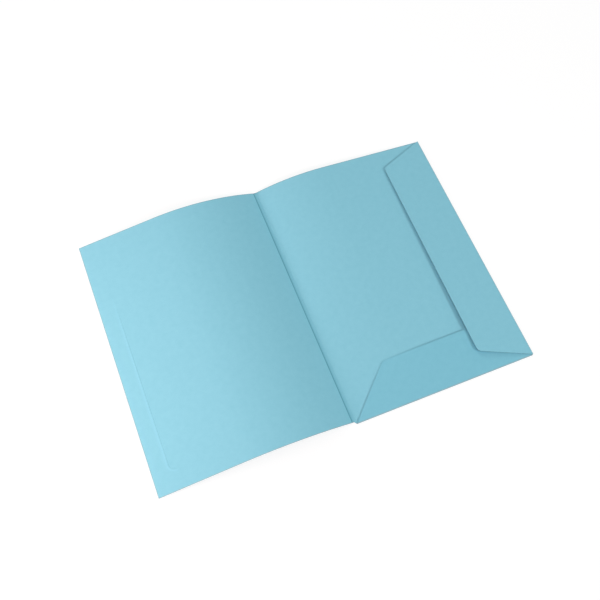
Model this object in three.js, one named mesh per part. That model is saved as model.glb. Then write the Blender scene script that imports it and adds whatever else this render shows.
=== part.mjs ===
// A presentation folder for A4 sheets, lying open on a table with its inside up. It is one die-cut sheet
// of card, creased into a front cover, a spine strip, a back cover and two flaps folded in over the back
// cover. Lengths are in millimetres and +Z is up. The origin is on the table under the middle of the spine's
// width, halfway between foot and head. +X points at the back cover and its flaps, and +Y at the head.
import * as THREE from "three";

// The card
const CARD = 0.4;
const CARD_COLOUR = 0x96cddd;
const CARD_ROUGHNESS = 0.85;

// The covers and the spine, measured along the card
const COVER_WIDTH = 223;
const COVER_HEIGHT = 310;
const SPINE_WIDTH = 4;

// The front cover and the spine are cut this much shorter at the foot, clear of the fold of the bottom flap
const FRONT_FOOT_CUT = 2.5;

// The slot left between two panels of the sheet that meet at a crease or at a bend line
const CREASE_SLOT = 0.3;

// How the open covers arch: each leaves the spine at its start angle, bends evenly, and is straight over its
// flat width, up to the fore edge. The back cover's arch fades out towards the foot, where the bottom flap
// holds the card straight.
const FRONT_START_DEG = 24;
const FRONT_FLAT_WIDTH = 93;
const BACK_START_DEG = 18.7;
const BACK_FLAT_WIDTH = 135;

// The front cover is springy and flattens as it closes, so its bend is made of strips that turn on each other.
const BEND_STRIPS = 4;

// The flaps, measured from their creases
const SIDE_FLAP_WIDTH = 60;
const SIDE_FLAP_BEVEL_DEG = 23;
const SIDE_FLAP_END_INSET = 1.5;
const BOTTOM_FLAP_HEIGHT = 55;
const BOTTOM_FLAP_SPINE_BEVEL_DEG = 45;
const BOTTOM_FLAP_FORE_BEVEL_DEG = 45;
const BOTTOM_FLAP_END_INSET = 1.2;
const FLAP_CORNER_RADIUS = 6;

// The air between two layers of card at a fold, and how far a folded flap springs up from what it lies on
const FOLD_GAP = 0.4;
const FLAP_SPRING_DEG = 0.6;

// Fineness of the curves
const STEPS_PER_STRIP = 8;
const BACK_COLUMNS = 36;
const BACK_ROWS = 6;
const CORNER_SEGMENTS = 6;

const foot = -COVER_HEIGHT / 2;
const frontFoot = foot + FRONT_FOOT_CUT;
const head = COVER_HEIGHT / 2;
const radians = THREE.MathUtils.degToRad;

// The line of an arched cover, seen from its foot: how far out and how high it is at each length of card
// from the spine crease. Its end angle is the one that brings the fore edge down to the spine's own level.
function archOf(startAngle, bendLength, flatWidth) {
  const bendPoint = (endAngle, length) => {
    const turned = startAngle + ((endAngle - startAngle) * length) / bendLength;
    const curvature = (endAngle - startAngle) / bendLength;
    return {
      out: (Math.sin(turned) - Math.sin(startAngle)) / curvature,
      up: (Math.cos(startAngle) - Math.cos(turned)) / curvature,
      angle: turned,
    };
  };
  let low = -startAngle - Math.PI / 4;
  let high = 0;
  for (let halving = 0; halving < 50; halving++) {
    const middle = (low + high) / 2;
    const landing = bendPoint(middle, bendLength).up + flatWidth * Math.sin(middle);
    if (landing > 0) high = middle;
    else low = middle;
  }
  const endAngle = (low + high) / 2;
  return (length) => {
    if (length <= bendLength) return bendPoint(endAngle, length);
    const end = bendPoint(endAngle, bendLength);
    const past = length - bendLength;
    return {
      out: end.out + past * Math.cos(endAngle),
      up: end.up + past * Math.sin(endAngle),
      angle: endAngle,
    };
  };
}

// A closed sheet of card over a grid of places. placeAt gives the middle of the card and its tilt about Y
// at shares of the way across (towards +X) and along (towards +Y).
function cardSheet(columns, rows, placeAt) {
  const positions = [];
  for (const side of [0.5, -0.5]) {
    for (let row = 0; row <= rows; row++) {
      for (let column = 0; column <= columns; column++) {
        const { x, y, z, tilt } = placeAt(column / columns, row / rows);
        const away = side * CARD;
        positions.push(x - away * Math.sin(tilt), y, z + away * Math.cos(tilt));
      }
    }
  }
  const layer = (columns + 1) * (rows + 1);
  const top = (column, row) => row * (columns + 1) + column;
  const index = [];
  const quad = (a, b, c, d) => index.push(a, b, c, a, c, d);
  for (let row = 0; row < rows; row++) {
    for (let column = 0; column < columns; column++) {
      const corners = [
        top(column, row),
        top(column + 1, row),
        top(column + 1, row + 1),
        top(column, row + 1),
      ];
      quad(...corners);
      quad(...corners.map((corner) => corner + layer).reverse());
    }
  }
  const wall = (a, b) => quad(a, a + layer, b + layer, b);
  for (let column = 0; column < columns; column++) {
    wall(top(column, 0), top(column + 1, 0));
    wall(top(column + 1, rows), top(column, rows));
  }
  for (let row = 0; row < rows; row++) {
    wall(top(columns, row), top(columns, row + 1));
    wall(top(0, row + 1), top(0, row));
  }
  const geometry = new THREE.BufferGeometry();
  geometry.setAttribute("position", new THREE.Float32BufferAttribute(positions, 3));
  geometry.setIndex(index);
  geometry.computeVertexNormals();
  return geometry;
}

// A flat panel of card cut to an outline whose corners, listed anticlockwise, are each rounded by a radius
function cutPanel(corners) {
  const outline = new THREE.Shape();
  corners.forEach(({ x, y, radius }, i) => {
    const here = new THREE.Vector2(x, y);
    const toPrevious = new THREE.Vector2().copy(corners.at(i - 1)).sub(here).normalize();
    const toNext = new THREE.Vector2().copy(corners.at(i + 1 - corners.length)).sub(here).normalize();
    if (radius === 0) {
      if (i === 0) outline.moveTo(x, y);
      else outline.lineTo(x, y);
      return;
    }
    const halfAngle = toPrevious.angleTo(toNext) / 2;
    const inwards = toPrevious.clone().add(toNext).normalize();
    const centre = here.clone().addScaledVector(inwards, radius / Math.sin(halfAngle));
    const across = radius / Math.tan(halfAngle);
    const start = here.clone().addScaledVector(toPrevious, across).sub(centre);
    const end = here.clone().addScaledVector(toNext, across).sub(centre);
    outline.absarc(centre.x, centre.y, radius, start.angle(), end.angle(), false);
  });
  outline.closePath();
  return new THREE.ExtrudeGeometry(outline, {
    depth: CARD,
    bevelEnabled: false,
    curveSegments: CORNER_SEGMENTS,
  });
}

const folder = new THREE.Group();

function addPanel(name, geometry, holder = folder) {
  const material = new THREE.MeshStandardMaterial({
    color: CARD_COLOUR,
    roughness: CARD_ROUGHNESS,
    metalness: 0,
  });
  const mesh = new THREE.Mesh(geometry, material);
  mesh.name = name;
  holder.add(mesh);
  return mesh;
}

// Spine strip: the narrow panel between the two spine creases. It lies flat on the table.
addPanel(
  "spine_strip",
  cardSheet(1, 1, (across, along) => ({
    x: (across - 0.5) * (SPINE_WIDTH - CREASE_SLOT),
    y: THREE.MathUtils.lerp(frontFoot, head, along),
    z: CARD / 2,
    tilt: 0,
  })),
);

// Front cover: bend strips numbered from the spine, then the flat panel that ends at the fore edge
const frontBendLength = COVER_WIDTH - FRONT_FLAT_WIDTH;
const frontArch = archOf(radians(FRONT_START_DEG), frontBendLength, FRONT_FLAT_WIDTH);

function frontPanel(fromLength, toLength, steps) {
  return cardSheet(steps, 1, (across, along) => {
    const arch = frontArch(THREE.MathUtils.lerp(toLength, fromLength, across));
    return {
      x: -SPINE_WIDTH / 2 - arch.out,
      y: THREE.MathUtils.lerp(frontFoot, head, along),
      z: CARD / 2 + arch.up,
      tilt: -arch.angle,
    };
  });
}

const stripLength = frontBendLength / BEND_STRIPS;
for (let strip = 0; strip < BEND_STRIPS; strip++) {
  const start = strip * stripLength + CREASE_SLOT / 2;
  const end = (strip + 1) * stripLength - CREASE_SLOT / 2;
  addPanel(`front_cover_bend_${strip + 1}`, frontPanel(start, end, STEPS_PER_STRIP));
}
addPanel("front_cover_panel", frontPanel(frontBendLength + CREASE_SLOT / 2, COVER_WIDTH, 1));

// Back cover: arched along the head, flat along the foot, and ruled straight between them
const backBendLength = COVER_WIDTH - BACK_FLAT_WIDTH;
const backArch = archOf(radians(BACK_START_DEG), backBendLength, BACK_FLAT_WIDTH);
const foreEdge = SPINE_WIDTH / 2 + backArch(COVER_WIDTH).out;

addPanel(
  "back_cover",
  cardSheet(BACK_COLUMNS, BACK_ROWS, (across, along) => {
    const slot = CREASE_SLOT / 2;
    const arch = backArch(THREE.MathUtils.lerp(slot, COVER_WIDTH - slot, across));
    const y = THREE.MathUtils.lerp(foot + slot, head, along);
    const fade = (y - foot) / COVER_HEIGHT;
    return {
      x: SPINE_WIDTH / 2 + arch.out,
      y,
      z: CARD / 2 + arch.up * fade,
      tilt: Math.atan(Math.tan(arch.angle) * fade),
    };
  }),
);

// How high the back cover's arch rises along the head
let archHeight = 0;
for (let column = 0; column <= BACK_COLUMNS; column++) {
  archHeight = Math.max(archHeight, backArch((COVER_WIDTH * column) / BACK_COLUMNS).up);
}

// A flap turns about a crease axis midway between the card it folds over and itself. layers is the number of
// sheets of card between the table and the flap.
function foldAxisHeight(layers) {
  return (CARD + layers * (CARD + FOLD_GAP)) / 2;
}

// Bottom flap: folded in along the foot. It rests on the arch of the back cover, and its corners are cut back
// so that it opens clear of the spine and out from under the side flap.
const bottomFold = new THREE.Group();
bottomFold.position.set(0, foot, foldAxisHeight(1));
bottomFold.rotation.x = Math.atan(archHeight / COVER_HEIGHT) + radians(FLAP_SPRING_DEG);
folder.add(bottomFold);

const flapStart = SPINE_WIDTH / 2 + BOTTOM_FLAP_END_INSET;
const flapEnd = foreEdge - BOTTOM_FLAP_END_INSET;
const spineCutback = BOTTOM_FLAP_HEIGHT / Math.tan(radians(BOTTOM_FLAP_SPINE_BEVEL_DEG));
const foreCutback = BOTTOM_FLAP_HEIGHT / Math.tan(radians(BOTTOM_FLAP_FORE_BEVEL_DEG));
const bottomFlap = addPanel(
  "bottom_flap",
  cutPanel([
    { x: flapStart, y: CREASE_SLOT / 2, radius: 0 },
    { x: flapEnd, y: CREASE_SLOT / 2, radius: 0 },
    { x: flapEnd - foreCutback, y: BOTTOM_FLAP_HEIGHT, radius: FLAP_CORNER_RADIUS },
    { x: flapStart + spineCutback, y: BOTTOM_FLAP_HEIGHT, radius: FLAP_CORNER_RADIUS },
  ]),
  bottomFold,
);
bottomFlap.position.z = foldAxisHeight(1) - CARD;

// Side flap: folded in along the fore edge, over the bottom flap, with both of its ends bevelled
const sideFold = new THREE.Group();
sideFold.position.set(foreEdge, 0, foldAxisHeight(2));
sideFold.rotation.y = -backArch(COVER_WIDTH).angle + radians(FLAP_SPRING_DEG);
folder.add(sideFold);

const bevelRise = SIDE_FLAP_WIDTH * Math.tan(radians(SIDE_FLAP_BEVEL_DEG));
const sideFoot = foot + SIDE_FLAP_END_INSET;
const sideHead = head - SIDE_FLAP_END_INSET;
const sideFlap = addPanel(
  "side_flap",
  cutPanel([
    { x: -CREASE_SLOT / 2, y: sideFoot, radius: 0 },
    { x: -CREASE_SLOT / 2, y: sideHead, radius: 0 },
    { x: -SIDE_FLAP_WIDTH, y: sideHead - bevelRise, radius: FLAP_CORNER_RADIUS },
    { x: -SIDE_FLAP_WIDTH, y: sideFoot + bevelRise, radius: FLAP_CORNER_RADIUS },
  ]),
  sideFold,
);
sideFlap.position.z = foldAxisHeight(2) - CARD;

export default folder;
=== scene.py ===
"""Looks of a presentation folder for A4 sheets: one die-cut sheet of light blue card, lying open."""

import math

import bpy
import numpy as np
from mathutils import Matrix, Vector


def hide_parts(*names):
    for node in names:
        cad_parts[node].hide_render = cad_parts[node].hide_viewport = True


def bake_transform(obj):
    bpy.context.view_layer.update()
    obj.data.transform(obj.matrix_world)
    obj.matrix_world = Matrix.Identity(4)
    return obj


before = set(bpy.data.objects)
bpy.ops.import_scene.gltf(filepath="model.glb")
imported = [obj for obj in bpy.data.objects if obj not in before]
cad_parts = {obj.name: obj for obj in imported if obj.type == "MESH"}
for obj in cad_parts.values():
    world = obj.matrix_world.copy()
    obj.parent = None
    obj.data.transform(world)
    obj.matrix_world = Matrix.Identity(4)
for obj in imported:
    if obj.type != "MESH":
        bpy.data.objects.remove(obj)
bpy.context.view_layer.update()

# Spine and the start of the front cover. The whole folder is one sheet of 0.4 mm card, and the spine is its
# 4 mm wide strip between two creases, which lies flat on the table. The creases are pressed in with a blunt
# steel rule, which leaves a fine groove in the card and lets the front cover rise from the spine at a slope.

CARD = 0.4
HEIGHT = 310
FRONT_FOOT_CUT = 2.5
COVER = 223
SPINE = 4
CREASE_GROOVE = 0.16
CREASE_WIDTH = 1.2
FRONT_SLOPE_AT_SPINE = 24.0
FRONT_SLOPE_AT_FORE_EDGE = -9.802
FRONT_BEND = 130
BEND_STRIPS = 4

CARD_BLUE = "#8BCDDF"
CARD_BLUE_PALE = "#8ED0E1"
CARD_BLUE_DEEP = "#87CADC"
# Painted shade in and beside the front crease
CREASE_SHADE_BLUE = "#5BA6BA"
BOTTOM_FLAP_TINT = "#EFF8FA"
# Painted highlight on the embossed rule's outer flank
FLANK_HIGHLIGHT_BLUE = "#90D2E5"
RIM_GREY = "#92BAC6"
CUT_EDGE_GREY = "#7C9CA5"
CUT_EDGE_DEEP = "#668791"

CLOUD_SIZE = 7.0
FIBRE_WIDTH = 0.35
FIBRE_LENGTH = 2.0
TOOTH_SIZE = 0.5
# Painted shade: a line in the front crease, and the front cover's shadow beside it
CREASE_SHADE_CORE = 0.1
SPINE_SHADOW_REACH = 2.4
SPINE_SHADOW_DEPTH = 0.6
TINT_FROM_FOOT = 0.6
RIM_REACH = 0.6
SIDE_FOLD_ROUND = 2.4
FOOT_FOLD_ROUND = 1.8


def linear(hex_colour):
    """An sRGB hex colour as the linear RGBA that a shader socket takes."""
    parts = [int(hex_colour[i : i + 2], 16) / 255 for i in (1, 3, 5)]
    return (*[p / 12.92 if p <= 0.04045 else ((p + 0.055) / 1.055) ** 2.4 for p in parts], 1.0)


def add_node(material, kind, sockets=None, **settings):
    """Adds a node, sets it up, and sets its input sockets to values or links them to other sockets."""
    node = material.node_tree.nodes.new(kind)
    for setting, value in settings.items():
        setattr(node, setting, value)
    for socket, value in (sockets or {}).items():
        if isinstance(value, bpy.types.NodeSocket):
            material.node_tree.links.new(value, node.inputs[socket])
        else:
            node.inputs[socket].default_value = value
    return node


def dyed_uncoated_card():
    """Pulp dyed through and left uncoated: matt, with a faint cloudiness and short fibres along the grain.
    The patterns lie on the flat sheet, in millimetres, so they run on from one panel to the next."""
    card = bpy.data.materials.new("dyed_uncoated_card")
    card.use_nodes = True
    shader = card.node_tree.nodes["Principled BSDF"]
    shader.inputs["Roughness"].default_value = 0.85
    shader.inputs["IOR"].default_value = 1.5
    shader.inputs["Specular IOR Level"].default_value = 0.3
    plan = add_node(card, "ShaderNodeUVMap", uv_map="card_plan").outputs["UV"]
    place = add_node(card, "ShaderNodeSeparateXYZ", {"Vector": plan})
    across, along = place.outputs["X"], place.outputs["Y"]

    # The pulp's clouds are about 7 mm across
    clouds = add_node(
        card,
        "ShaderNodeTexNoise",
        {"Vector": plan, "Scale": 1 / CLOUD_SIZE, "Detail": 4.0, "Roughness": 0.6},
    ).outputs["Fac"]
    # Real fibres are 0.03 mm thick; they are drawn 0.35 mm thick and 2 mm long, or none would show
    grain = add_node(
        card,
        "ShaderNodeMapping",
        {"Vector": plan, "Scale": (1 / FIBRE_WIDTH, 1 / FIBRE_LENGTH, 1.0)},
    ).outputs["Vector"]
    fibres = add_node(
        card, "ShaderNodeTexNoise", {"Vector": grain, "Scale": 1.0, "Detail": 2.0}
    ).outputs["Fac"]
    mottle = add_node(card, "ShaderNodeMath", {0: clouds, 1: fibres}, operation="ADD").outputs[0]
    mottle = add_node(card, "ShaderNodeMath", {0: mottle, 1: 0.5}, operation="MULTIPLY").outputs[0]
    shade = add_node(card, "ShaderNodeValToRGB", {"Fac": mottle})
    ramp = shade.color_ramp
    ramp.elements[0].position, ramp.elements[0].color = 0.32, linear(CARD_BLUE_DEEP)
    ramp.elements[1].position, ramp.elements[1].color = 0.68, linear(CARD_BLUE_PALE)
    ramp.elements.new(0.5).color = linear(CARD_BLUE)

    # Painted shade: the front crease's groove is drawn darker, for the shade that falls in it
    from_crease = add_node(card, "ShaderNodeMath", {0: across, 1: SPINE / 2}, operation="ADD").outputs[0]
    beside = add_node(card, "ShaderNodeMath", {0: from_crease}, operation="ABSOLUTE").outputs[0]
    crease_shade = add_node(
        card,
        "ShaderNodeMapRange",
        {"Value": beside, "From Min": CREASE_WIDTH, "From Max": CREASE_SHADE_CORE},
        interpolation_type="SMOOTHSTEP",
    ).outputs["Result"]
    # Painted shadow: the front cover's shadow on the spine and the back cover beyond it, fading over the
    # next 5 mm
    spine_shadow = add_node(card, "ShaderNodeMath", {0: from_crease, 1: -1 / SPINE_SHADOW_REACH}, operation="MULTIPLY")
    spine_shadow = add_node(card, "ShaderNodeMath", {0: spine_shadow.outputs[0]}, operation="EXPONENT").outputs[0]
    beyond = add_node(card, "ShaderNodeMath", {0: from_crease, 1: 0.0}, operation="GREATER_THAN").outputs[0]
    spine_shadow = add_node(card, "ShaderNodeMath", {0: spine_shadow, 1: beyond}, operation="MULTIPLY").outputs[0]
    spine_shadow = add_node(card, "ShaderNodeMath", {0: spine_shadow, 1: SPINE_SHADOW_DEPTH}, operation="MULTIPLY").outputs[0]
    painted_shade = add_node(card, "ShaderNodeMath", {0: spine_shadow, 1: crease_shade}, operation="MAXIMUM").outputs[0]
    tone = add_node(
        card,
        "ShaderNodeMix",
        {0: painted_shade, 6: shade.outputs["Color"], 7: linear(CREASE_SHADE_BLUE)},
        data_type="RGBA",
    ).outputs[2]

    # The bottom flap, below the foot fold on the flat sheet, is drawn a little darker than the rest
    flap_top = -HEIGHT / 2 - TINT_FROM_FOOT
    on_flap = add_node(card, "ShaderNodeMath", {0: along, 1: flap_top}, operation="LESS_THAN").outputs[0]
    tone = add_node(
        card,
        "ShaderNodeMix",
        {0: on_flap, 6: tone, 7: linear(BOTTOM_FLAP_TINT)},
        data_type="RGBA",
        blend_type="MULTIPLY",
    ).outputs[2]

    # Painted highlight: a paler line along the embossed rule's gently sloped outer flank, where it faces the
    # light
    crest = add_node(card, "ShaderNodeAttribute", attribute_name="crest").outputs["Fac"]
    tone = add_node(
        card, "ShaderNodeMix", {0: crest, 6: tone, 7: linear(FLANK_HIGHLIGHT_BLUE)}, data_type="RGBA"
    ).outputs[2]

    # The outermost 0.6 mm is drawn greyer, at the cut edges and round the folds
    sideways = add_node(card, "ShaderNodeMath", {0: across}, operation="ABSOLUTE").outputs[0]
    side_rim = SPINE / 2 + COVER + (SIDE_FOLD_ROUND - RIM_REACH) / 2
    at_sides = add_node(
        card,
        "ShaderNodeMath",
        {0: sideways, 1: side_rim, 2: (SIDE_FOLD_ROUND + RIM_REACH) / 2},
        operation="COMPARE",
    ).outputs[0]
    lengthways = add_node(card, "ShaderNodeMath", {0: along}, operation="ABSOLUTE").outputs[0]
    end_rim = HEIGHT / 2 + (FOOT_FOLD_ROUND - RIM_REACH) / 2
    at_ends = add_node(
        card,
        "ShaderNodeMath",
        {0: lengthways, 1: end_rim, 2: (FOOT_FOLD_ROUND + RIM_REACH) / 2},
        operation="COMPARE",
    ).outputs[0]
    at_foot = add_node(
        card,
        "ShaderNodeMath",
        {0: along, 1: FRONT_FOOT_CUT - HEIGHT / 2, 2: RIM_REACH},
        operation="COMPARE",
    ).outputs[0]
    on_front = add_node(card, "ShaderNodeMath", {0: across, 1: 0.0}, operation="LESS_THAN").outputs[0]
    at_foot = add_node(card, "ShaderNodeMath", {0: at_foot, 1: on_front}, operation="MULTIPLY").outputs[0]
    rim = add_node(card, "ShaderNodeMath", {0: at_sides, 1: at_ends}, operation="MAXIMUM").outputs[0]
    rim = add_node(card, "ShaderNodeMath", {0: rim, 1: at_foot}, operation="MAXIMUM").outputs[0]
    tone = add_node(
        card, "ShaderNodeMix", {0: rim, 6: tone, 7: linear(RIM_GREY)}, data_type="RGBA"
    ).outputs[2]
    card.node_tree.links.new(tone, shader.inputs["Base Color"])

    # A felt-like tooth, 0.5 mm from bump to bump and some hundredths of a millimetre deep
    tooth = add_node(
        card,
        "ShaderNodeTexNoise",
        {"Vector": plan, "Scale": 1 / TOOTH_SIZE, "Detail": 3.0, "Roughness": 0.7},
    ).outputs["Fac"]
    relief = add_node(card, "ShaderNodeMath", {0: tooth, 1: fibres}, operation="ADD").outputs[0]
    bump = add_node(card, "ShaderNodeBump", {"Height": relief, "Strength": 0.35, "Distance": 0.00003})
    card.node_tree.links.new(bump.outputs["Normal"], shader.inputs["Normal"])
    return card


def guillotined_card_edge():
    """The cut edge of the same card. The knife leaves open fibres, rougher and greyer than the faces, and
    the edge is drawn darker still, as painted shade.
    """
    edge = bpy.data.materials.new("guillotined_card_edge")
    edge.use_nodes = True
    shader = edge.node_tree.nodes["Principled BSDF"]
    shader.inputs["Roughness"].default_value = 0.95
    shader.inputs["IOR"].default_value = 1.5
    shader.inputs["Specular IOR Level"].default_value = 0.2
    plan = add_node(edge, "ShaderNodeUVMap", uv_map="card_plan").outputs["UV"]
    # Torn fibre ends every half millimetre along the cut
    fibre_ends = add_node(
        edge, "ShaderNodeTexNoise", {"Vector": plan, "Scale": 1 / TOOTH_SIZE, "Detail": 3.0}
    ).outputs["Fac"]
    shade = add_node(edge, "ShaderNodeValToRGB", {"Fac": fibre_ends})
    ramp = shade.color_ramp
    ramp.elements[0].position, ramp.elements[0].color = 0.3, linear(CUT_EDGE_DEEP)
    ramp.elements[1].position, ramp.elements[1].color = 0.7, linear(CUT_EDGE_GREY)
    edge.node_tree.links.new(shade.outputs["Color"], shader.inputs["Base Color"])
    bump = add_node(edge, "ShaderNodeBump", {"Height": fibre_ends, "Strength": 0.5, "Distance": 0.00005})
    edge.node_tree.links.new(bump.outputs["Normal"], shader.inputs["Normal"])
    return edge


card_face = dyed_uncoated_card()
card_cut = guillotined_card_edge()


def card_piece(
    name,
    middle,
    inside,
    plan,
    raised=0.0,
    pressed=0.0,
    crest=0.0,
    cut_sides=("first", "last", "low", "high"),
):
    """A piece of the sheet over a grid: the card's middle, the direction its inside faces, and its place on
    the flat sheet, each as rows along the crease by columns across it, in millimetres. raised moves both
    faces towards the inside, pressed moves the inner face alone away from it, and crest is how
    strongly a painted highlight lies on the card. cut_sides get an edge; the other sides run on into the
    next piece."""
    rows, columns = middle.shape[:2]
    heights = (raised - pressed + CARD / 2, raised - CARD / 2)
    layers = [middle + inside * np.broadcast_to(height, (rows, columns))[..., None] for height in heights]
    points = np.concatenate([layer.reshape(-1, 3) for layer in layers]) / 1000
    upper = np.arange(rows * columns).reshape(rows, columns)
    under = upper + rows * columns
    a, b, c, d = upper[:-1, :-1], upper[:-1, 1:], upper[1:, 1:], upper[1:, :-1]
    upper_faces = np.stack([a, b, c, d], -1).reshape(-1, 4)
    lower_faces = upper_faces[:, ::-1] + rows * columns
    rims = {
        "low": (upper[0, :-1], under[0, :-1], under[0, 1:], upper[0, 1:]),
        "high": (upper[-1, 1:], under[-1, 1:], under[-1, :-1], upper[-1, :-1]),
        "last": (upper[:-1, -1], under[:-1, -1], under[1:, -1], upper[1:, -1]),
        "first": (upper[1:, 0], under[1:, 0], under[:-1, 0], upper[:-1, 0]),
    }
    walls = [np.stack(rims[side], -1) for side in cut_sides]
    faces = np.concatenate([upper_faces, lower_faces, *walls])
    mesh = bpy.data.meshes.new(name)
    mesh.from_pydata(points.tolist(), [], faces.tolist())
    on_wall = np.arange(len(faces)) >= 2 * len(upper_faces)
    mesh.materials.append(card_face)
    mesh.materials.append(card_cut)
    mesh.polygons.foreach_set("material_index", on_wall.astype(np.int32))
    mesh.polygons.foreach_set("use_smooth", ~on_wall)
    corners = np.empty(len(mesh.loops), np.int32)
    mesh.loops.foreach_get("vertex_index", corners)
    flat = np.tile(plan.reshape(-1, 2), (2, 1))
    card_plan = mesh.uv_layers.new(name="card_plan")
    card_plan.data.foreach_set("uv", flat[corners].astype(np.float32).ravel())
    # How strongly the painted highlight lies on each point, for the material
    highlight_strength = np.tile(np.broadcast_to(crest, (rows, columns)).ravel(), 2)
    mesh.attributes.new("crest", "FLOAT", "POINT").data.foreach_set("value", highlight_strength.astype(np.float32))
    mesh.update()
    mesh.set_sharp_from_angle(angle=math.radians(40))
    piece = bpy.data.objects.new(name, mesh)
    bpy.context.scene.collection.objects.link(piece)
    return piece


LINE_STEP = 0.05
CREASE_TURN = 1.0


def cover_line(slope_at_spine, slope_at_fore_edge, bend):
    """The card's line from the middle of the spine to a fore edge: place on the card, out, up and slope at
    each step. The card turns from the flat spine into its slope within a millimetre of the crease."""
    place = np.arange(0, SPINE / 2 + COVER + LINE_STEP, LINE_STEP)
    bent = np.clip((place - SPINE / 2) / bend, 0, 1)
    slope = np.radians(slope_at_spine + (slope_at_fore_edge - slope_at_spine) * bent)
    turn = np.clip((place - SPINE / 2 + CREASE_TURN / 2) / CREASE_TURN, 0, 1)
    slope = slope * turn * turn * (3 - 2 * turn)
    step_slope = (slope[1:] + slope[:-1]) / 2
    out = np.concatenate([[0], np.cumsum(LINE_STEP * np.cos(step_slope))])
    up = np.concatenate([[0], np.cumsum(LINE_STEP * np.sin(step_slope))])
    return place, out, up, slope


front_line = cover_line(FRONT_SLOPE_AT_SPINE, FRONT_SLOPE_AT_FORE_EDGE, FRONT_BEND)


def grid_lines(start, *stretches):
    """Places of a grid's lines. After the start come pairs: a number of faces and the place they reach."""
    lines = [start]
    for faces, reached in zip(stretches[::2], stretches[1::2]):
        lines.extend(np.linspace(lines[-1], reached, faces + 1)[1:])
    return np.array(lines)


# The embossed rule near the fore edge needs rows of faces 0.3 mm apart where it turns
RULE_TURN_FROM = 22.0
RULE_TURN_TO = 34.0
front_rows = -HEIGHT / 2 + grid_lines(FRONT_FOOT_CUT, 4, RULE_TURN_FROM, 40, RULE_TURN_TO, 29, HEIGHT)


def front_piece(name, places, cut_sides=("low", "high"), **relief):
    """A piece of the front cover between its places on the card, counted from the middle of the spine."""
    places = np.sort(np.asarray(places))[::-1]
    place, out, up, slope = front_line
    x = -np.interp(places, place, out)
    z = CARD / 2 + np.interp(places, place, up)
    tilt = np.interp(places, place, slope)
    rows = len(front_rows)
    y = np.tile(front_rows[:, None], len(places))
    middle = np.stack([np.tile(x, (rows, 1)), y, np.tile(z, (rows, 1))], -1)
    inside = np.tile(np.stack([np.sin(tilt), 0 * tilt, np.cos(tilt)], -1), (rows, 1, 1))
    plan = np.stack([np.tile(-places, (rows, 1)), y], -1)
    relief = {way: shape(plan) for way, shape in relief.items()}
    return card_piece(name, middle, inside, plan, cut_sides=cut_sides, **relief)


def crease_groove(plan):
    """How deep the creasing rule has pressed the inner face at places on the flat sheet."""
    return CREASE_GROOVE * np.exp(-(((np.abs(plan[..., 0]) - SPINE / 2) / (CREASE_WIDTH / 2)) ** 2))


# The groove at 2 mm from the middle of the spine needs columns of faces less than 0.1 mm apart
GROOVE_FROM = 1
GROOVE_TO = 3
half_strip = FRONT_BEND / (2 * BEND_STRIPS)
spine_and_hinge = front_piece(
    "spine_and_front_crease",
    grid_lines(0, 3, GROOVE_FROM, 24, GROOVE_TO, 9, SPINE / 2 + half_strip),
    pressed=crease_groove,
)
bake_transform(spine_and_hinge)
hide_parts("spine_strip")

# Front cover, from the spine outwards. The card is springy and stands in a low arch, steepest at the spine.
# The arch straightens as the cover is lifted; each piece runs from the middle of one strip of the frame to
# the middle of the next.


for strip in range(1, BEND_STRIPS):
    start = SPINE / 2 + (2 * strip - 1) * half_strip
    end = SPINE / 2 + (2 * strip + 1) * half_strip
    bend_piece = front_piece(f"front_cover_bend_{strip}_to_{strip + 1}", grid_lines(start, 13, end))
    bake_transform(bend_piece)
    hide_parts(f"front_cover_bend_{strip}")

# Front cover, outer part. It is nearly straight up to the fore edge, which touches the table. A narrow rule
# is blind-embossed beside it: a ridge with no ink, with a painted highlight along its gently sloped outer
# flank. It turns in at the foot, ends after the corner, and fades out well below the head.

RULE_FROM_EDGE = 20.0
RULE_TURN_RADIUS = 6.0
RULE_FOOT = 24.6
RULE_TAIL = 4.0
RULE_TOP = 236
RULE_FADE = 60
RULE_FADE_CURVE = 0.7
RULE_OUTER_FLANK = 1.2
RULE_INNER_FLANK = 0.8
RULE_HEIGHT = 0.3
# The painted highlight along the rule's outer flank
HIGHLIGHT_OUT = 1.4
HIGHLIGHT_WIDTH = 0.8


def rule_distance(plan):
    """Distance from the top of the rule's ridge at places on the flat sheet, above zero on its inner side,
    and how strongly it is embossed there."""
    from_edge = plan[..., 0] + SPINE / 2 + COVER
    from_foot = plan[..., 1] + HEIGHT / 2
    right = from_edge - (RULE_FROM_EDGE + RULE_TURN_RADIUS)
    below = from_foot - (RULE_FOOT + RULE_TURN_RADIUS)
    turned = np.where(right <= 0, RULE_TURN_RADIUS - np.hypot(right, below), from_foot - RULE_FOOT)
    away = np.where(below >= 0, from_edge - RULE_FROM_EDGE, turned)
    fading = np.clip((RULE_TOP - from_foot) / RULE_FADE, 0, 1) ** RULE_FADE_CURVE
    return away, fading * np.clip((RULE_TAIL - right) / RULE_TAIL, 0, 1)


def embossed_ridge(plan):
    """Height of the ridge at places on the flat sheet."""
    away, strength = rule_distance(plan)
    flank = np.where(away < 0, -away / RULE_OUTER_FLANK, away / RULE_INNER_FLANK)
    return RULE_HEIGHT * strength * np.cos(np.clip(flank, 0, 1) * np.pi / 2) ** 2


def flank_highlight(plan):
    """How strongly the painted highlight lies on the card, most along the foot of the outer flank."""
    away, strength = rule_distance(plan)
    return strength * np.exp(-(((away + HIGHLIGHT_OUT) / HIGHLIGHT_WIDTH) ** 2))


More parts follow.
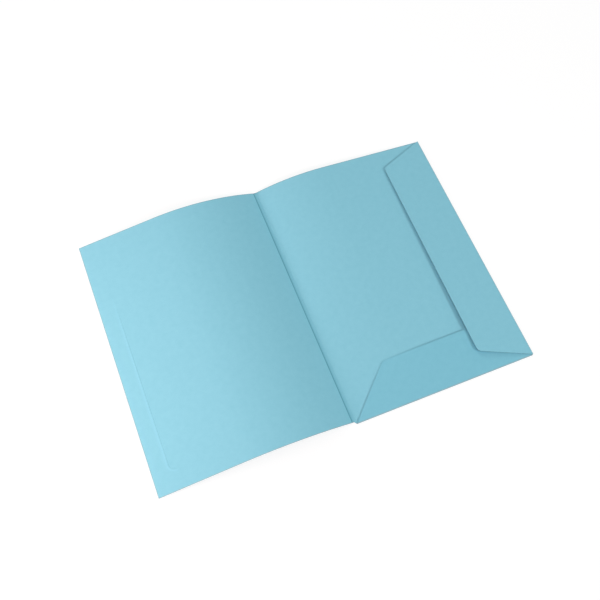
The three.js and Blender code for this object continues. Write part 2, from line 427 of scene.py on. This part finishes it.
# The rule's stem needs columns 0.1 mm apart and its turn columns 0.3 mm apart, counted in from the fore edge
STEM_FROM = 18
STEM_TO = 22
TURN_TO = 34
last_start = SPINE / 2 + (2 * BEND_STRIPS - 1) * half_strip
last_end = SPINE / 2 + (2 * BEND_STRIPS + 1) * half_strip
fore_edge = SPINE / 2 + COVER
rule_columns = (40, fore_edge - STEM_TO, 40, fore_edge - STEM_FROM, 9, fore_edge)
outer_panel = front_piece(
    "front_cover_outer_panel",
    grid_lines(last_start, 13, last_end, 11, fore_edge - TURN_TO, *rule_columns),
    cut_sides=("low", "high", "first"),
    raised=embossed_ridge,
    # with a painted highlight along the rule's outer flank
    crest=flank_highlight,
)
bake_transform(outer_panel)
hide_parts("front_cover_bend_4", "front_cover_panel")

# Back cover, with its half of the spine, whose foot slants to meet the front cover's shorter one. Along the
# head it arches like the front cover, only lower. Along the foot the folded flap holds the card straight, so
# the arch fades out from head to foot.

BACK_SLOPE_AT_SPINE = 18.7
BACK_SLOPE_AT_FORE_EDGE = -4.5677
BACK_BEND = 88
BACK_ARCH_TO = 90
BACK_GROOVE_SHARE = 0.6

back_line = cover_line(BACK_SLOPE_AT_SPINE, BACK_SLOPE_AT_FORE_EDGE, BACK_BEND)
places = grid_lines(0, 3, GROOVE_FROM, 24, GROOVE_TO, 40, BACK_ARCH_TO, 23, fore_edge)
back_rows = grid_lines(-HEIGHT / 2, 24, HEIGHT / 2)
foot_cut = FRONT_FOOT_CUT * np.clip(1 - places / (SPINE / 2), 0, 1)
y = HEIGHT / 2 - (HEIGHT / 2 - back_rows[:, None]) * (HEIGHT - foot_cut) / HEIGHT
share = (y + HEIGHT / 2) / HEIGHT
rise = np.interp(places, back_line[0], back_line[2])
tilt = np.arctan(np.tan(np.interp(places, back_line[0], back_line[3])) * share)
x = np.tile(np.interp(places, back_line[0], back_line[1]), (len(back_rows), 1))
back_plan = np.stack([np.tile(places, (len(back_rows), 1)), y], -1)
back_cover = card_piece(
    "back_cover_sheet",
    np.stack([x, y, CARD / 2 + rise * share], -1),
    np.stack([-np.sin(tilt), 0 * tilt, np.cos(tilt)], -1),
    back_plan,
    pressed=crease_groove(back_plan) * BACK_GROOVE_SHARE,
    cut_sides=("low", "high", "last"),
)
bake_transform(back_cover)
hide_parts("back_cover")

# Bottom flap. It goes round the foot of the back cover in a tight half turn and lies folded in over it. Its
# ends are die-cut at 45 degrees with nearly sharp free corners, and its free edge sags onto the arch of the
# back cover near the spine.

FLAP_INSET = 0.3
FLAP_ROWS = 12
FOLD_FACES = 14
STRAIGHT_FACES = 19
CORNER_FACES = 9
BOTTOM_REACH = 55.0
BOTTOM_SLANT = 45
BOTTOM_AXIS_HEIGHT = 0.6
BOTTOM_CORNER = 2.0
BOTTOM_TILT = 2.713
BOTTOM_SAG = 1.1
BOTTOM_SAG_TO = 100
BOTTOM_SAG_FADE = 45


def flap_grid(reach, low, high, slant, fold_radius, tilt, corner_radius):
    """A folded flap as columns from its crease to its free edge. Gives for each column the distance in from
    the crease, the height over the fold's axis, the way the card's inside faces, its place on the flat sheet
    from the crease, and its two ends along the crease. The ends are cut back by slant degrees, and the free
    corners are rounded."""
    slanted = np.radians(slant)
    tilted = np.radians(tilt)
    turn = np.radians(np.linspace(0, 180 - tilt, FOLD_FACES + 1))
    centre = reach - corner_radius
    corner = centre + corner_radius * np.sin(np.linspace(slanted, np.pi / 2, CORNER_FACES + 1))
    reaches = np.concatenate([np.linspace(0, corner[0], STRAIGHT_FACES + 1)[1:-1], corner])
    inwards = np.concatenate([
        -fold_radius * np.sin(turn),
        -fold_radius * np.sin(tilted) + reaches * np.cos(tilted),
    ])
    upwards = np.concatenate([
        -fold_radius * np.cos(turn),
        fold_radius * np.cos(tilted) + reaches * np.sin(tilted),
    ])
    facing = np.concatenate([
        np.stack([np.sin(turn), np.cos(turn)], -1),
        np.tile([np.sin(tilted), -np.cos(tilted)], (len(reaches), 1)),
    ])
    on_sheet = np.concatenate([fold_radius * turn, fold_radius * turn[-1] + reaches])
    tangent = corner_radius / np.tan((np.pi / 2 + slanted) / 2)
    rounded = np.sqrt(np.clip(corner_radius**2 - (reaches - centre) ** 2, 0, None))
    arc = reach * np.tan(slanted) + tangent - rounded
    cut = np.where(reaches <= corner[0] + 1e-9, reaches * np.tan(slanted), arc)
    cut = np.concatenate([np.zeros(len(turn)), cut])
    return inwards, upwards, facing, on_sheet, low + cut, high - cut


fore_edge_x = float(np.interp(fore_edge, back_line[0], back_line[1]))
inwards, upwards, facing, on_sheet, low, high = flap_grid(
    BOTTOM_REACH,
    SPINE / 2 + FLAP_INSET,
    fore_edge_x - FLAP_INSET,
    BOTTOM_SLANT,
    BOTTOM_AXIS_HEIGHT - CARD / 2,
    BOTTOM_TILT,
    BOTTOM_CORNER,
)
lengthways = grid_lines(0, FLAP_ROWS, 1)[:, None]
x = low + (high - low) * lengthways
every_row = np.ones_like(x)
sag_near_spine = np.clip((BOTTOM_SAG_TO - x) / BOTTOM_SAG_FADE, 0, 1)
bottom_flap = card_piece(
    "bottom_flap_sheet",
    np.stack([x, (-HEIGHT / 2 + inwards) * every_row, (BOTTOM_AXIS_HEIGHT + upwards) * every_row], -1),
    np.stack([0 * x, facing[:, 0] * every_row, facing[:, 1] * every_row], -1),
    np.stack([x, (-HEIGHT / 2 - on_sheet) * every_row], -1),
    raised=BOTTOM_SAG * sag_near_spine * np.clip(inwards / BOTTOM_REACH, 0, 1) ** 2,
)
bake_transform(bottom_flap)
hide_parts("bottom_flap")

# Side flap. It goes round the fore edge, over the bottom flap's end, so its fold is wider. Its ends are
# die-cut at 23 degrees with rounded corners. It is creased, not glued, and springs up a little, less towards
# the foot, which leaves a dark gap along its free edge.

SIDE_REACH = 60.0
SIDE_SLANT = 23
SIDE_AXIS_HEIGHT = 1.0
SIDE_CORNER = 6.0
SIDE_TILT = 5.168
SIDE_TWIST = 1.0

inwards, upwards, facing, on_sheet, low, high = flap_grid(
    SIDE_REACH,
    -HEIGHT / 2 + FLAP_INSET,
    HEIGHT / 2 - FLAP_INSET,
    SIDE_SLANT,
    SIDE_AXIS_HEIGHT - CARD / 2,
    SIDE_TILT,
    SIDE_CORNER,
)
y = low + (high - low) * lengthways
every_row = np.ones_like(y)
side_flap = card_piece(
    "side_flap_sheet",
    np.stack([(fore_edge_x - inwards) * every_row, y, (SIDE_AXIS_HEIGHT + upwards) * every_row], -1),
    np.stack([-facing[:, 0] * every_row, 0 * y, facing[:, 1] * every_row], -1),
    np.stack([(fore_edge + on_sheet) * every_row, y], -1),
    raised=math.tan(math.radians(SIDE_TWIST)) * (0.5 - y / HEIGHT) * np.clip(inwards, 0, None),
)
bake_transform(side_flap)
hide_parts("side_flap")

# The table: a plain sweep of matt white paper under the folder, a tenth of a millimetre lower. It shows as
# pure white to the camera and still takes the folder's shadow.

SWEEP_REACH = 6.0
SWEEP_DROP = 0.0001
SWEEP_WHITE = "#E7E7E7"
SWEEP_SHADOWED = "#898989"
SWEEP_GLOW = 0.8

sweep_corners = ((-1, -1), (1, -1), (1, 1), (-1, 1))
floor_mesh = bpy.data.meshes.new("white_sweep")
floor_mesh.from_pydata(
    [(SWEEP_REACH * x, SWEEP_REACH * y, -SWEEP_DROP) for x, y in sweep_corners], [], [(0, 1, 2, 3)]
)
floor = bpy.data.objects.new("white_sweep", floor_mesh)
bpy.context.scene.collection.objects.link(floor)
paper = bpy.data.materials.new("white_sweep_paper")
paper.use_nodes = True
paper.node_tree.nodes.clear()
rays = add_node(paper, "ShaderNodeLightPath").outputs
seen = add_node(
    paper, "ShaderNodeMath", {0: rays["Is Camera Ray"], 1: rays["Is Glossy Ray"]}, operation="MAXIMUM"
).outputs[0]
seen = add_node(
    paper, "ShaderNodeMath", {0: seen, 1: rays["Is Transmission Ray"]}, operation="MAXIMUM"
).outputs[0]
tone = add_node(
    paper,
    "ShaderNodeMix",
    {0: seen, 6: linear(SWEEP_WHITE), 7: linear(SWEEP_SHADOWED)},
    data_type="RGBA",
).outputs[2]
matt = add_node(paper, "ShaderNodeBsdfDiffuse", {"Color": tone}).outputs[0]
lift = add_node(paper, "ShaderNodeMath", {0: seen, 1: SWEEP_GLOW}, operation="MULTIPLY").outputs[0]
glow = add_node(paper, "ShaderNodeEmission", {"Color": linear("#FFFFFF"), "Strength": lift}).outputs[0]
both = add_node(paper, "ShaderNodeAddShader", {0: matt, 1: glow}).outputs[0]
add_node(paper, "ShaderNodeOutputMaterial", {"Surface": both})
floor_mesh.materials.append(paper)

# Light: a white room and four soft panels. The low one on the left lights the front cover's outer part and
# leaves its slope down to the spine in shade. The overhead one stands a little left. The one beyond the foot
# on the right puts fine shadows along the flaps.

ROOM_LEVEL = 0.347

world = bpy.data.worlds.new("white_room")
bpy.context.scene.world = world
world.use_nodes = True
world.node_tree.nodes.clear()
rays = add_node(world, "ShaderNodeLightPath").outputs
seen = add_node(
    world, "ShaderNodeMath", {0: rays["Is Camera Ray"], 1: rays["Is Transmission Ray"]}, operation="MAXIMUM"
).outputs[0]
level = add_node(
    world,
    "ShaderNodeMapRange",
    {"Value": seen, "From Min": 0.0, "From Max": 1.0, "To Min": ROOM_LEVEL, "To Max": 1.0},
).outputs[0]
room = add_node(world, "ShaderNodeBackground", {"Color": linear("#FFFFFF"), "Strength": level}).outputs[0]
add_node(world, "ShaderNodeOutputWorld", {"Surface": room})


def soft_panel(name, azimuth, elevation, distance, width, height, watts, colour=(1.0, 1.0, 1.0)):
    """A panel that faces the folder, at an azimuth and elevation in degrees and a distance in metres."""
    light = bpy.data.lights.new(name, "AREA")
    light.shape = "RECTANGLE"
    light.size, light.size_y = width, height
    light.energy = watts
    light.color = colour
    panel = bpy.data.objects.new(name, light)
    around, above = math.radians(azimuth), math.radians(elevation)
    panel.location = distance * Vector(
        (math.cos(above) * math.cos(around), math.cos(above) * math.sin(around), math.sin(above))
    )
    panel.rotation_mode = "QUATERNION"
    panel.rotation_quaternion = (-panel.location).to_track_quat("-Z", "Y")
    bpy.context.scene.collection.objects.link(panel)


soft_panel(
    "low_panel_left",
    azimuth=185,
    elevation=18,
    distance=0.8,
    width=0.5,
    height=0.16,
    watts=4.3,
    colour=(1.0, 0.77, 0.745),
)
soft_panel(
    "panel_overhead", azimuth=180, elevation=82, distance=1.4, width=0.8, height=0.8, watts=2.99
)
soft_panel(
    "panel_behind_head", azimuth=90, elevation=30, distance=2.0, width=0.5, height=0.5, watts=7.37
)
soft_panel(
    "panel_right_of_foot", azimuth=312, elevation=38, distance=2.0, width=0.22, height=0.22, watts=11.7
)

# Camera, high up beyond the foot of the front cover and turned, as in the photograph. Its directions and its
# place were fitted to the folder's corners and outline.

camera_data = bpy.data.cameras.new("camera")
camera_data.sensor_width = 36
camera_data.lens = 43.142
camera_data.clip_start, camera_data.clip_end = 0.05, 20
camera = bpy.data.objects.new("camera", camera_data)
right = (0.926194, -0.373031, 0.054891)
up = (0.324399, 0.862575, 0.388239)
back = (-0.192173, -0.341778, 0.919922)
place = (-0.161978, -0.283324, 0.769122)
camera.matrix_world = Matrix([[right[i], up[i], back[i], place[i]] for i in range(3)] + [[0, 0, 0, 1]])
bpy.context.scene.collection.objects.link(camera)
bpy.context.scene.camera = camera
bpy.context.scene.view_settings.view_transform = "Standard"
